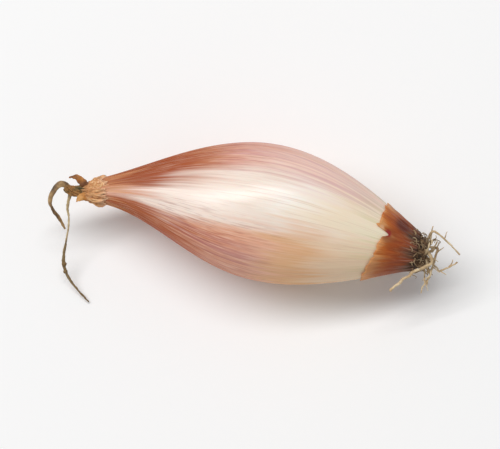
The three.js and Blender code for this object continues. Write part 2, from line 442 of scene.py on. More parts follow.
flesh = start_material("peeled_flesh")
fibre_place = own_place(flesh, "fibre")
share, side, up = split(flesh, fibre_place)
wobble = add_node(flesh, "ShaderNodeTexNoise", {"Vector": fibre_place, "Scale": 2.2}).outputs["Color"]
drift = add_node(
    flesh, "ShaderNodeVectorMath", {0: wobble, 1: (0.06,) * 3, 2: (-0.03,) * 3}, operation="MULTIPLY_ADD"
).outputs[0]
broad = along_pattern(flesh, "fibre", (1.6, 2.4, 2.4), detail=2, warp=drift)
bands = along_pattern(flesh, "fibre", (1.5, 6, 6), detail=3, shift=4.0, warp=drift)
streaks = along_pattern(flesh, "fibre", (2.2, 15, 15), detail=3, roughness=0.55, shift=9.0, warp=drift)
threads = along_pattern(flesh, "fibre", (3.4, 52, 52), detail=3, roughness=0.6, shift=2.0, warp=drift)
dashes = along_pattern(flesh, "fibre", (15, 46, 46), detail=2, roughness=0.55, shift=5.0, warp=drift)

# Its colour along the far side, the crown and the near side; the crown turns a little towards the neck
wandering_share = maths(
    flesh, "ADD", share,
    spread(flesh, bands, 0.3, 0.7, -0.05, 0.05),
    spread(flesh, streaks, 0.3, 0.7, -0.02, 0.02),
)
# The flanks darken to terracotta towards the neck: partly their own colour and partly painted shade
far_colour = ramp(flesh, wandering_share, [
    (0.10, "f0dcca"), (0.28, "f6d2c2"), (0.42, "ecc2b2"), (0.54, "dda28e"), (0.64, "bc7450"),
    (0.76, "a04a22"), (0.87, "98481e"), (0.93, "bc7648"),
])
# The crown's near-white is partly painted highlight, laid where the lamp's highlight falls along it
crown_colour_and_painted_highlight = ramp(flesh, wandering_share, [
    (0.10, "f4e8cc"), (0.26, "f7e4ca"), (0.40, "fdf4ea"), (0.50, "f2e2d4"), (0.64, "f8e8dc"),
    (0.78, "f6e4d8"), (0.87, "e0b09a"), (0.93, "d89c74"),
])
near_colour = ramp(flesh, wandering_share, [
    (0.10, "ecd4b4"), (0.26, "ecccaa"), (0.36, "e9b88a"), (0.46, "ecb698"), (0.58, "e0a080"),
    (0.72, "c07044"), (0.84, "a45022"), (0.89, "ac5c2e"), (0.93, "cc8c5e"),
])
across = maths(
    flesh, "ADD", side,
    spread(flesh, share, 0.45, 0.85, 0, 0.36),
    spread(flesh, broad, 0.3, 0.7, -0.1, 0.1),
    spread(flesh, streaks, 0.3, 0.7, -0.07, 0.07),
)
across = maths(flesh, "MULTIPLY", across, spread(flesh, share, 0.72, 0.92, 1.0, 1.7))
colour = blend(flesh, spread(flesh, across, 0.16, 0.66), crown_colour_and_painted_highlight, far_colour)
colour = blend(flesh, spread(flesh, across, -0.20, -0.66), colour, near_colour)
# The underside takes the near side's colour, so the crown's painted highlight stays on top
colour = blend(flesh, spread(flesh, up, 0.1, -0.4), colour, near_colour)

# A tan patch below the crown at the widest place
wandering_side = maths(flesh, "ADD", side, spread(flesh, streaks, 0.3, 0.7, -0.1, 0.1))
tan_patch = maths(
    flesh, "MULTIPLY", 0.55,
    spread(flesh, wandering_side, -0.08, -0.42),
    spread(flesh, wandering_share, 0.28, 0.38),
    spread(flesh, wandering_share, 0.50, 0.41),
)
colour = blend(flesh, tan_patch, colour, "e2ae7e")

# Mauve streaks along the side below the crown, and lilac ones along the far side
mauve = maths(
    flesh, "MULTIPLY",
    spread(flesh, side, -0.55, -0.85),
    spread(flesh, share, 0.40, 0.52),
    spread(flesh, share, 0.9, 0.72),
    spread(flesh, streaks, 0.42, 0.66, 0.14, 0.62),
)
colour = blend(flesh, mauve, colour, "b0646a")
lilac = maths(
    flesh, "MULTIPLY",
    spread(flesh, side, 0.1, 0.5),
    spread(flesh, share, 0.12, 0.2),
    spread(flesh, share, 0.7, 0.55),
    spread(flesh, streaks, 0.38, 0.66, 0.0, 0.44),
)
colour = blend(flesh, lilac, colour, "c48f9c")

# Fine fibres, pale and dark; short dashes on the flanks; a greenish tinge next to the torn skin
colour = blend(flesh, spread(flesh, threads, 0.5, 0.7, 0.0, 0.16), colour, "fbeedd")
dark_threads = spread(flesh, maths(flesh, "ADD", streaks, threads), 0.92, 0.72, 0.0, 0.24)
colour = blend(flesh, dark_threads, colour, "a8684c")
flanks = maths(
    flesh, "MAXIMUM",
    spread(flesh, side, -0.15, -0.6, 0.16, 1.0),
    spread(flesh, side, 0.15, 0.6, 0.16, 0.8),
)
flanks = maths(flesh, "MULTIPLY", flanks, spread(flesh, share, 0.36, 0.6, 0.2, 1.0))
dark_dashes = maths(flesh, "MULTIPLY", flanks, spread(flesh, dashes, 0.5, 0.68, 0.0, 0.42))
colour = blend(flesh, dark_dashes, colour, "9c4c40")
pale_dashes = maths(flesh, "MULTIPLY", flanks, spread(flesh, dashes, 0.48, 0.32, 0.0, 0.34))
colour = blend(flesh, pale_dashes, colour, "f4d8c2")
green = maths(
    flesh, "MULTIPLY", spread(flesh, share, 0.26, 0.16), spread(flesh, streaks, 0.5, 0.65, 0, 0.4)
)
colour = blend(flesh, green, colour, "cfc890")

# Moist and glossy but for its flanks next to the neck, which have dried
dryness = maths(flesh, "MULTIPLY", flanks, spread(flesh, share, 0.5, 0.76))
fibre_height = layered(flesh, maths(flesh, "MULTIPLY", streaks, 0.7), threads, 0.3)
fibre_bumps = bumps(flesh, fibre_height, strength=0.3, deep=0.12 * MM)
flesh_shader = add_node(flesh, "ShaderNodeBsdfPrincipled", {
    "Base Color": colour,
    "Roughness": spread(flesh, bands, 0.3, 0.7, 0.34, 0.46),
    "Normal": fibre_bumps,
    "Subsurface Weight": 0.15,
    "Subsurface Radius": (1.0, 0.45, 0.3),
    "Subsurface Scale": 1.2 * MM,
    "Specular IOR Level": 0.0,
    "Coat Weight": spread(flesh, dryness, 0.0, 1.0, 0.18, 0.04),
    "Coat IOR": 2.8,
    "Coat Roughness": 0.27,
    "Coat Normal": fibre_bumps,
})
finish_material(flesh, flesh_shader, bulb)
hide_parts("bulb")
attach(bulb, "root")


# Torn skin
# What is left of the dry outer skin: a thin papery cup round the root end, tied in under the root plate
# and torn off along a ragged rim. It is tan at the rim and red-brown to mauve towards the roots, and near
# black right by the plate, partly painted shade where it tucks in under the crust.

SKIN_FROM = 2.2 * MM  # under the root plate's rim
SKIN_NOMINAL_TO = 13 * MM
SKIN_STEPS = 20
SKIN_SIDES = 288
SKIN_THICKNESS = 0.12 * MM
SKIN_TEAR = [  # angle round the bulb in degrees, and millimetres along
    (20, 11.2), (46, 11.7), (66, 12.3), (84, 12.0), (96, 11.2), (113, 12.2), (136, 13.0),
    (167, 14.1), (196, 14.4), (225, 12.6), (258, 11.0), (287, 12.4), (318, 12.9), (344, 11.6),
]
SKIN_TEETH = [(3, 0.45, 5), (9, 0.22, 6), (27, 0.14, 7), (70, 0.08, 8)]  # how often, how high, a seed
# Each split and tongue of the rim: its angle, its length in millimetres and half its width in degrees
SKIN_SPLITS = [(91, 1.7, 7), (38, 0.7, 5), (129, 0.5, 4), (243, 2.0, 6), (302, 1.2, 5)]
SKIN_TONGUES = [(83, 0.8, 5), (60, 0.3, 6), (150, 0.3, 7), (272, 0.6, 6)]
# A dark bruise near the plate, a brown and a crimson one in the notch, and a pale lip beside them
SKIN_BRUISES = [  # millimetres along, degrees, radius in millimetres, strength and colour
    (6.6, 56, 3.0, 0.8, "54201a"),
    (9.2, 92, 3.4, 0.5, "7a3418"),
    (9.9, 89, 1.3, 0.9, "8c1420"),
    (11.6, 84, 0.9, 0.75, "e2b088"),
]


def teeth(angle, layers):
    """A ragged edge at an angle round the bulb; a layer is how often it turns, its height and its seed."""
    side, up = math.cos(angle), math.sin(angle)
    return sum(height * ripple(side * often, up * often, seed) for often, height, seed in layers)


def turn_between(first, second):
    """The shortest turn between two angles in degrees."""
    return abs((first - second + 180) % 360 - 180)


def torn_rim(angle):
    """Where the dry skin ends: its broad line, ragged teeth, deep splits and left tongues."""
    degrees = math.degrees(angle) % 360
    after = next((i for i, (at, _) in enumerate(SKIN_TEAR) if at > degrees), 0)
    (start, low), (end, high) = SKIN_TEAR[after - 1], SKIN_TEAR[after]
    gap = (end - start) % 360
    rim = low + (high - low) * smooth_step(0, gap, (degrees - start) % 360)
    rim += teeth(angle, SKIN_TEETH)
    for at, depth, half in SKIN_SPLITS:
        rim -= depth * smooth_step(half, 0, turn_between(degrees, at))
    for at, length, half in SKIN_TONGUES:
        rim += length * smooth_step(half, 0, turn_between(degrees, at))
    return rim * MM


def skin_relief(share, angle):
    """Pleats where the skin is drawn in under the plate, a crumpled middle and a rim that lifts."""
    side, up = math.cos(angle), math.sin(angle)
    pleats = (0.10 + ripple(share * 0.7, side * 7.5, up * 7.5) * 0.5) * (1 - share) ** 1.5
    crumple = ripple(share * 4, side * 7, up * 7) * 0.12 + ripple(share * 9, side * 20, up * 20) * 0.05
    lift = smooth_step(0.72, 1.0, share) * (0.16 + 0.34 * ripple(side * 4, up * 4, 3))
    return (0.16 + max(pleats, -0.1) + crumple + max(lift, 0)) * MM


def thicken(piece, thickness):
    """Gives a thin sheet its thickness, outwards."""
    bpy.ops.object.select_all(action="DESELECT")
    piece.select_set(True)
    bpy.context.view_layer.objects.active = piece
    wall = piece.modifiers.new("wall", "SOLIDIFY")
    wall.thickness = thickness
    wall.offset = 1.0
    bpy.ops.object.modifier_apply(modifier=wall.name)


torn_skin = open_tube("torn_skin_cup", SKIN_FROM, SKIN_NOMINAL_TO, SKIN_STEPS, SKIN_SIDES)
finish_mesh(torn_skin)
rind = torn_skin.data.attributes.new("rind", "FLOAT_VECTOR", "POINT")
for vertex in torn_skin.data.vertices:
    nominal = WIDEST_AT - vertex.co.x
    share = part_way(SKIN_FROM, SKIN_NOMINAL_TO, nominal)
    angle = angle_at(vertex.co, nominal)
    along = SKIN_FROM + (torn_rim(angle) - SKIN_FROM) * share
    vertex.co = skin_point(along, angle, skin_relief(share, angle))
    rind.data[vertex.index].vector = (share, math.cos(angle), math.sin(angle))
torn_skin.data.update()
thicken(torn_skin, SKIN_THICKNESS)


def object_place(material):
    """The place of each point of a piece, in metres."""
    return add_node(material, "ShaderNodeTexCoord").outputs["Object"]


def distance_from(material, place, point):
    """How far a place is from a fixed point."""
    return add_node(
        material, "ShaderNodeVectorMath", {0: place, 1: point}, operation="DISTANCE"
    ).outputs["Value"]


rind_paint = start_material("dry_skin")
share = split(rind_paint, own_place(rind_paint, "rind"))[0]
patches = along_pattern(rind_paint, "rind", (0.8, 2.4, 2.4), detail=3, shift=3.0)
veins = along_pattern(rind_paint, "rind", (0.7, 16, 16), detail=4, roughness=0.6)
grain = along_pattern(rind_paint, "rind", (5, 40, 40), detail=3, roughness=0.6, shift=6.0)
wandering_share = maths(
    rind_paint, "ADD", share,
    spread(rind_paint, patches, 0.3, 0.7, -0.16, 0.16),
    spread(rind_paint, veins, 0.3, 0.7, -0.07, 0.07),
)
# Near black next to the plate: partly the skin's own dark brown, partly painted shade under the crust and
# roots
colour = ramp(rind_paint, wandering_share, [
    (0.06, "2c1d12"), (0.17, "4e3222"), (0.29, "723c26"), (0.46, "8a401a"), (0.66, "a24c1a"),
    (0.84, "bc682a"), (1.0, "dc9c62"),
])

# Red-brown blotches, dark veins, mauve-grey pleats next to the plate, and a pale grain over them
colour = blend(rind_paint, spread(rind_paint, patches, 0.52, 0.7, 0, 0.55), colour, "7e3a26")
colour = blend(rind_paint, spread(rind_paint, veins, 0.52, 0.74, 0, 0.26), colour, "5a3220")
mauve_pleats = maths(
    rind_paint, "MULTIPLY",
    spread(rind_paint, share, 0.5, 0.2),
    spread(rind_paint, veins, 0.52, 0.34, 0, 0.7),
)
colour = blend(rind_paint, mauve_pleats, colour, "a07666")
colour = blend(rind_paint, spread(rind_paint, grain, 0.45, 0.7, 0, 0.22), colour, "d0905c")
rind_spot = object_place(rind_paint)
for along, degrees, size, strength, code in SKIN_BRUISES:
    middle = skin_point(along * MM, math.radians(degrees), 0.4 * MM)
    gap = distance_from(rind_paint, rind_spot, middle)
    colour = blend(
        rind_paint, spread(rind_paint, gap, size * MM, size * 0.35 * MM, 0, strength), colour, code
    )

rind_bumps = bumps(rind_paint, layered(rind_paint, veins, grain, 0.35), strength=0.6, deep=0.2 * MM)
rind_shader = add_node(rind_paint, "ShaderNodeBsdfPrincipled", {
    "Base Color": colour,
    "Roughness": spread(rind_paint, patches, 0.3, 0.7, 0.36, 0.55),
    "Normal": rind_bumps,
    "Subsurface Weight": 0.1,
    "Subsurface Radius": (1.0, 0.4, 0.15),
    "Subsurface Scale": 0.5 * MM,
    "Specular IOR Level": 0.15,
    "Coat Weight": 0.14,
    "Coat Roughness": 0.3,
})
finish_material(rind_paint, rind_shader, torn_skin)
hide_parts("torn_skin")
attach(torn_skin, "root")


# Root plate
# The corky disc that the scales and roots grow from: a dark rough crust with crumbled lumps, grown on to
# the flesh and standing a little proud of the skin that it pinches.

PLATE_SIDES = 64
PLATE_RADIUS = ROOT_END_RADIUS + 0.45 * MM
PLATE_BACK = 3.0 * MM  # how far it reaches along the flesh
PLATE_OUTERMOST = 0.99  # of the flesh's radius there: what lies further out is the open rim
PLATE_RIM_AT = 2.3 * MM
PLATE_RIM = 0.35 * MM  # how far it stands off the flesh there
PLATE_SHOULDER_AT = 1.7 * MM
PLATE_SHOULDER = 0.2 * MM  # how much wider it is there than at the dome's foot
PLATE_TOP = 0.3 * MM
PLATE_DOME = 1.1 * MM
PLATE_DOME_POWER = 0.7
PLATE_DOME_RINGS = 9
PLATE_LUMPS = [(1.3 * MM, 0.22 * MM), (0.6 * MM, 0.2 * MM), (0.28 * MM, 0.12 * MM)]


def dome_out(radius):
    """How far the plate's dome stands out along +X at a distance from its middle."""
    share = min(radius / PLATE_RADIUS, 1) ** (1 / PLATE_DOME_POWER)
    return PLATE_DOME * (math.sqrt(1 - share ** 2) - 1) + PLATE_TOP


def roughen(piece, lumps):
    """Pushes a piece's skin in and out by layers of noise, each of a lump size and a height."""
    pushed = []
    for vertex in piece.data.vertices:
        push = sum(ripple(*(vertex.co / size)) * height for size, height in lumps)
        pushed.append(vertex.co + vertex.normal * push)
    for vertex, place in zip(piece.data.vertices, pushed):
        vertex.co = place
    piece.data.update()


flesh_radius = outline_radius(PLATE_BACK)
plate_rings = [
    (PLATE_RIM_AT, outline_radius(PLATE_RIM_AT) + PLATE_RIM),
    (PLATE_SHOULDER_AT, PLATE_RADIUS + PLATE_SHOULDER),
    (PLATE_DOME, PLATE_RADIUS),
]
for i in range(1, PLATE_DOME_RINGS):
    tilt = i / PLATE_DOME_RINGS * math.pi / 2
    ring = PLATE_RADIUS * math.cos(tilt) ** PLATE_DOME_POWER
    plate_rings.append((-dome_out(ring), ring))

root_plate = start_tube("root_plate_crust", PLATE_BACK, PLATE_SIDES)
close_tube_end()
select_rim(root_plate, lambda corner: radius_at(corner, PLATE_BACK) > PLATE_OUTERMOST * flesh_radius)
here, radius = PLATE_BACK, flesh_radius
for after, ring in plate_rings:
    extrude_ring(here, after, ring / radius)
    here, radius = after, ring
close_tube_end()
finish_mesh(root_plate, levels=2)
roughen(root_plate, PLATE_LUMPS)


def dull_finish(material, colour, roughness, normal, *pieces):
    """A dry rough surface without gloss, given to the pieces."""
    shader = add_node(material, "ShaderNodeBsdfPrincipled", {
        "Base Color": colour,
        "Roughness": roughness,
        "Normal": normal,
    })
    finish_material(material, shader, *pieces)


crust = start_material("root_crust")
crust_spot = object_place(crust)
lumps = speckles(crust, crust_spot, scale=900.0, detail=5.0, roughness=0.65)
crumbs = speckles(crust, crust_spot, scale=3200.0, detail=3.0)
colour = ramp(crust, lumps, [
    (0.28, "1a120c"), (0.45, "3e2b1b"), (0.58, "664a30"), (0.72, "907450"),
])
colour = blend(crust, spread(crust, crumbs, 0.55, 0.75, 0, 0.5), colour, "a48a66")
crust_bumps = bumps(crust, layered(crust, lumps, crumbs, 0.5), strength=0.9, deep=0.3 * MM)
dull_finish(crust, colour, 0.9, crust_bumps, root_plate)
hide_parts("root_plate")
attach(root_plate, "root")


# Long roots
# Five dry wiry roots that grow out of the plate: cream, shrunk and kinked, tapering to blunt tips, and
# darker where they leave the plate.

# The points of each as [out, side, up] from the middle of the plate's face, in millimetres, and its radii
# at the plate and at the tip
LONG_ROOTS = [
    ([(0.6, 0.3, 2.9), (1.6, -2.8, 4.3), (-2.4, -5.9, 2.8), (-5.9, -9.4, 0.9), (-6.8, -10.7, 0)], 0.42, 0.3),
    ([(0.7, 1.9, 0.9), (2.4, 1.3, 2.3), (2.3, -1.2, 2.5), (2.0, -4.3, 1.9), (1.5, -7.4, 0.2)], 0.34, 0.22),
    ([(0.5, 2.9, 0.8), (0.4, 5.2, 2.4), (2.4, 4.6, 2.6), (5.4, 3.1, 1.5), (8.0, 1.4, 0.4)], 0.32, 0.18),
    ([(0.9, -0.7, -0.9), (2.9, -2.5, -0.5), (4.3, -3.4, 0.5), (7.8, -0.8, 1.9)], 0.26, 0.18),
    ([(0.7, -2.2, -0.4), (1.9, -4.8, -0.3), (0.9, -7.0, -2.0), (0.6, -8.6, -4.6)], 0.26, 0.16),
]
ROOT_SUNK = Vector((0.9, 0, 0)) * MM  # how far each starts inside the plate
ROOT_KINKS = 0.13 * MM
ROOT_KINK_EVERY = 1.1 * MM
ROOT_UNEVENNESS = (0.82, 1.18)
ROOT_LUMPS = [(0.5 * MM, 0.05 * MM), (0.2 * MM, 0.04 * MM)]
ROOT_DARK_FROM = 3.6 * MM  # from the middle of the plate's face
ROOT_DARK_TO = 7.0 * MM
ROOT_DARKNESS = 0.45
STRAND_WELD = 0.002 * MM

plate_face = Vector((WIDEST_AT, centre_y(0), AXIS_HEIGHT))


def from_plate(point):
    """A place given as [out, side, up] from the middle of the plate's face, in millimetres."""
    return plate_face + Vector(point) * MM


def any_way(chance, size):
    """A shift by up to a size along each axis."""
    return Vector([chance.uniform(-size, size) for _ in range(3)])


def smooth_line(points, steps):
    """A line through points rounded as a spline would."""
    ends = [points[0] * 2 - points[1], *points, points[-1] * 2 - points[-2]]
    line = [points[0]]
    for a, b, c, d in zip(ends, ends[1:], ends[2:], ends[3:]):
        for i in range(1, steps + 1):
            t = i / steps
            line.append(0.5 * (
                2 * b + (c - a) * t + (2 * a - 5 * b + 4 * c - d) * t ** 2
                + (3 * b - 3 * c + d - a) * t ** 3
            ))
    return line


def kink(chance, points, size):
    """Kinks a line: points are added between its own, each shifted a little."""
    kinked = [points[0]]
    for first, second in zip(points, points[1:]):
        parts = max(1, round((second - first).length / ROOT_KINK_EVERY))
        for i in range(1, parts + 1):
            kinked.append(first.lerp(second, i / parts) + any_way(chance, size))
    return kinked


def tapered(chance, count, first, last):
    """Radii from first to last, each a little off."""
    taper = [(first + (last - first) * i / (count - 1)) * MM for i in range(count)]
    return [radius * chance.uniform(*ROOT_UNEVENNESS) for radius in taper]


def strand(name, points, radii, fineness, profile=None, turns=None):
    """A strand along points in metres, with a radius at each, round or of a given profile."""
    bpy.ops.object.select_all(action="DESELECT")
    bpy.ops.curve.primitive_bezier_curve_add(location=(0, 0, 0))
    made = bpy.context.object
    made.name = name
    shape = made.data
    shape.twist_mode = "MINIMUM"
    shape.resolution_u = fineness
    shape.use_fill_caps = True
    if profile is None:
        shape.bevel_depth = 1.0
        shape.bevel_resolution = 2
    else:
        shape.bevel_mode = "OBJECT"
        shape.bevel_object = profile
    bends = shape.splines[0].bezier_points
    bends.add(len(points) - 2)
    for bend, point, radius, turn in zip(bends, points, radii, turns or [0] * len(points)):
        bend.handle_left_type = bend.handle_right_type = "AUTO"
        bend.co = point
        bend.radius = radius
        bend.tilt = turn
    bpy.ops.object.convert(target="MESH")
    bpy.ops.object.mode_set(mode="EDIT")
    bpy.ops.mesh.select_all(action="SELECT")
    bpy.ops.mesh.remove_doubles(threshold=STRAND_WELD)
    finish_mesh(made)
    return made


def root_finish(name, dark_to, darkness, *pieces):
    """Dull stain-mottled root, darker by a share near the plate, which on the rootlets is painted shade."""
    made = start_material(name)
    spot = object_place(made)
    stains = speckles(made, spot, scale=420.0, detail=3.0)
    flecks = speckles(made, spot, scale=2600.0, detail=3.0)
    colour = ramp(made, stains, [(0.3, "967a56"), (0.44, "c4a880"), (0.58, "dfc8a0"), (0.75, "eedcba")])
    colour = blend(made, spread(made, flecks, 0.55, 0.75, 0, 0.45), colour, "7a5a38")
    # Darker near the plate; on the rootlets this is painted shade among the tangle by the crust
    near = spread(made, distance_from(made, spot, plate_face), dark_to, ROOT_DARK_FROM, 0, darkness)
    colour = blend(made, near, colour, "563d24")
    dull_finish(made, colour, 0.75, bumps(made, flecks, strength=0.6, deep=0.1 * MM), *pieces)
    return made


root_chance = random.Random(17)


def add_root(name, number, line, first, last):
    """A rough root along a line, tapering from the first radius to the last, for its frame's root."""
    radii = tapered(root_chance, len(line), first, last)
    root = strand(name, line, radii, fineness=5)
    roughen(root, ROOT_LUMPS)
    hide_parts(f"root_{number:02d}")
    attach(root, "root")
    return root


long_roots = []
for number, (points, first, last) in enumerate(LONG_ROOTS, 1):
    line = [from_plate(point) for point in points]
    line[0] = line[0] - ROOT_SUNK
    line = kink(root_chance, smooth_line(line, 3), ROOT_KINKS)
    long_roots.append(add_root(f"long_root_{number}", number, line, first, last))
dry_root = root_finish("dry_root", ROOT_DARK_TO, ROOT_DARKNESS, *long_roots)


# Short roots
# A dozen shorter roots of the same kind, spread evenly over the plate. Each leaves its dome squarely and
# curls to one side or the other as it sags.

SHORT_ROOTS = 12
GOLDEN_ANGLE = math.radians(137.508)
GOLDEN_SHARE = 0.618034
SHORT_ROOT_FIRST_BEARING = math.radians(167)
SHORT_ROOT_FIRST_CIRCLE = 0.7  # in millimetres from the plate's middle, as are the sizes below
SHORT_ROOT_LAST_CIRCLE = 3.7
SHORT_ROOT_LENGTH = 2.8
SHORT_ROOT_EXTRA = 2.6
SHORT_ROOT_RADIUS = 0.28
SHORT_ROOT_CURL = 0.9
SHORT_ROOT_SAG = 0.35
SHORT_ROOT_KINKS = 0.12 * MM


def short_root_points(index):
    """A short root leaves the plate square to its dome: the nearer to the rim, the more it leans."""
    reach_out = math.sqrt(index / SHORT_ROOTS)
    circle = SHORT_ROOT_FIRST_CIRCLE + (SHORT_ROOT_LAST_CIRCLE - SHORT_ROOT_FIRST_CIRCLE) * reach_out
    bearing = SHORT_ROOT_FIRST_BEARING + index * GOLDEN_ANGLE
    length = SHORT_ROOT_LENGTH + SHORT_ROOT_EXTRA * ((index * GOLDEN_SHARE) % 1)
    tilt = circle / SHORT_ROOT_LAST_CIRCLE * math.pi / 2
    curl = SHORT_ROOT_CURL if index % 2 else -SHORT_ROOT_CURL
    base = dome_out(circle * MM) / MM + SHORT_ROOT_RADIUS * math.sin(tilt)
    points = []
    for share in (-0.1, 0.35, 0.7, 1):
        reach = length * share
        radial = circle + reach * math.sin(tilt)
        turn = bearing + curl * share * abs(reach) / (circle + length)
        out = base + reach * math.cos(tilt) * (1 - SHORT_ROOT_SAG * share)
        points.append((out, radial * math.cos(turn), radial * FLATTENING * math.sin(turn)))
    return [from_plate(point) for point in points]


short_roots = []
for index in range(SHORT_ROOTS):
    line = kink(root_chance, smooth_line(short_root_points(index), 2), SHORT_ROOT_KINKS)
    number = len(LONG_ROOTS) + index + 1
    short_roots.append(add_root(
        f"short_root_{index + 1}", number, line, SHORT_ROOT_RADIUS * 0.9, SHORT_ROOT_RADIUS / 2
    ))
give_material(dry_root, *short_roots)


# Rootlets
# A matted tangle of hair-thin rootlets, all one piece, darkened near the plate by painted shade of the
# tangle. Some stand out of the plate between the roots, and the rest curl close round the crust's edge.

# Sizes in millimetres; a pair of numbers is the least and the most, or the radius at each end
ROOTLETS = 30
ROOTLET_CIRCLES = (1.2, 3.6)
ROOTLET_SUNK = 0.2
ROOTLET_HEADING_OUT = (0.1, 0.9)
ROOTLET_JOINTS = (4, 7)
ROOTLET_JOINT_LENGTHS = (0.45, 0.8)
ROOTLET_TURN = 0.8
ROOTLET_FURTHEST_OUT = 2.4  # where one turns back towards the plate
ROOTLET_RADII = (0.13, 0.07)
RIM_ROOTLETS = 60
RIM_ROOTLET_SLIP = 0.1  # in radians, off an even spacing
RIM_ROOTLET_BACKS = (0.4, 3.6)
RIM_ROOTLET_OFF = 0.3
RIM_ROOTLET_HEADING_OUT = (0.2, 1.0)
RIM_ROOTLET_JOINTS = (5, 8)
RIM_ROOTLET_JOINT_LENGTHS = (0.3, 0.62)
RIM_ROOTLET_CURLS = (0.5, 1.3)
RIM_ROOTLET_RADII = (0.12, 0.05)
# The rootlets' darkening near the plate is painted shade
ROOTLET_DARK_TO = 10.0 * MM
ROOTLET_DARKNESS = 0.72


def creep(chance, place, heading, joints, lengths, turned):
    """A line that creeps on from a place at the plate and turns at each joint."""
    line = [from_plate(place)]
    for _ in range(joints):
        heading = turned(heading, place).normalized()
        place = place + heading * chance.uniform(*lengths)
        line.append(from_plate(place))
    return line


def rootlet_turn(heading, place):
    """A rootlet turns any way, but back towards the plate where it has come far out."""
    turned = heading + any_way(root_chance, ROOTLET_TURN)
    if place.x > ROOTLET_FURTHEST_OUT:
        turned.x = -abs(turned.x)
    return turned


def join_pieces(name, pieces):
    """Makes one object of several."""
    bpy.ops.object.select_all(action="DESELECT")
    for piece in pieces:
        piece.select_set(True)
    bpy.context.view_layer.objects.active = pieces[0]
    bpy.ops.object.join()
    pieces[0].name = name
    return pieces[0]


rootlets = []
for index in range(ROOTLETS):
    bearing = root_chance.uniform(0, 2 * math.pi)
    circle = root_chance.uniform(*ROOTLET_CIRCLES)
    side, up = math.cos(bearing), math.sin(bearing)
    place = Vector((dome_out(circle * MM) / MM - ROOTLET_SUNK, circle * side, circle * up))
    heading = Vector((root_chance.uniform(*ROOTLET_HEADING_OUT), side, up)).normalized()
    joints = root_chance.randint(*ROOTLET_JOINTS)
    line = creep(root_chance, place, heading, joints, ROOTLET_JOINT_LENGTHS, rootlet_turn)
    radii = tapered(root_chance, len(line), *ROOTLET_RADII)
    rootlets.append(strand(f"rootlet_{index}", line, radii, fineness=4))
for index in range(RIM_ROOTLETS):
    bearing = index / RIM_ROOTLETS * 2 * math.pi + root_chance.uniform(-RIM_ROOTLET_SLIP, RIM_ROOTLET_SLIP)
    back = root_chance.uniform(*RIM_ROOTLET_BACKS)
    circle = outline_radius(back * MM) / MM + RIM_ROOTLET_OFF
    side, up = math.cos(bearing), math.sin(bearing)
    place = Vector((-back, circle * side, circle * up * FLATTENING))
    heading = Vector((root_chance.uniform(*RIM_ROOTLET_HEADING_OUT), side, up)).normalized()
    curl_axis = any_way(root_chance, 1).normalized()
    joints = root_chance.randint(*RIM_ROOTLET_JOINTS)
    line = creep(
        root_chance, place, heading, joints, RIM_ROOTLET_JOINT_LENGTHS,
        lambda way, _: way + way.cross(curl_axis) * root_chance.uniform(*RIM_ROOTLET_CURLS),
    )
    radii = tapered(root_chance, len(line), *RIM_ROOTLET_RADII)
    rootlets.append(strand(f"rim_rootlet_{index}", line, radii, fineness=4))
root_hairs = join_pieces("root_hairs", rootlets)
root_finish("dry_root_hair", ROOTLET_DARK_TO, ROOTLET_DARKNESS, root_hairs)
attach(root_hairs, "root")


# Root twigs
# Thin brittle side twigs of the long roots, of the same dry stuff, all one piece. Each starts inside its
# root and creeps off crookedly.

TWIGS = [  # where each leaves its root, as [out, side, up] from the plate's middle, and its heading
    ((-0.6, -4.4, 3.7), (-0.4, -0.6, 0.6)),
    ((1.0, -1.6, 3.9), (1, -0.2, 0.3)),
    ((2.5, 0.2, 2.5), (0.8, 0.6, 0.3)),
    ((2.1, -3.4, 2.1), (0.9, -0.5, -0.2)),
    ((1.8, -5.4, 1.4), (-0.5, -0.7, -0.1)),
    ((0.3, 4.3, 1.9), (-0.3, 0.8, 0.5)),
    ((3.6, 4.1, 2.2), (0.4, 0.9, -0.2)),
    ((4.0, -3.2, 0.3), (0.5, -0.8, 0.1)),
    ((5.9, -2.2, 1.1), (0.5, 0.7, 0.4)),
    ((1.2, -6.5, -1.4), (0.6, -0.6, 0.2)),
]
TWIG_JOINTS = 4
TWIG_JOINT_LENGTHS = (0.4, 0.7)
TWIG_TURN = 0.45
TWIG_RADII = (0.16, 0.08)

twigs = []
for index, (base, heading) in enumerate(TWIGS):
    line = creep(
        root_chance, Vector(base), Vector(heading).normalized(), TWIG_JOINTS, TWIG_JOINT_LENGTHS,
        lambda way, _: way + any_way(root_chance, TWIG_TURN),
    )
    radii = tapered(root_chance, len(line), *TWIG_RADII)
    twigs.append(strand(f"twig_{index}", line, radii, fineness=4))
root_twigs = join_pieces("root_twigs", twigs)
give_material(dry_root, root_twigs)
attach(root_twigs, "root")


# Neck collar
# The dry end of the outermost scales: crumbling tan paper in two ragged layers round the neck, the outer
# one grown on to the flesh and the inner one standing further out round the withered leaves, with loose
# flakes between.

COLLAR_SIDES = 220
COLLAR_STEPS = 22
COLLAR_LAYERS = [  # edge on the bulb and free edge, how far off the neck, how ragged, a seed for its noise
    (79.3, 83.0, 0.12, 1.0, 21),
    (80.8, 84.4, 0.0, 1.1, 47),
]
COLLAR_BULB_TEETH = [(2, 0.9), (6, 1.3), (15, 1.0), (34, 0.8)]  # how often round it, and how high
COLLAR_FREE_TEETH = [(2, 0.9), (5, 0.8), (13, 0.8), (30, 0.7)]
COLLAR_SLANT = 0.9  # how much further up the neck it starts on the far side, in millimetres
COLLAR_SWELL = 0.3
COLLAR_LEAST_OFF = 0.02
COLLAR_PAPER = 0.1 * MM
COLLAR_DRAWN_IN = 0.3  # how fast it closes in on the stub beyond the neck's end
COLLAR_LUMPS = [(0.5 * MM, 0.06 * MM), (0.22 * MM, 0.03 * MM)]
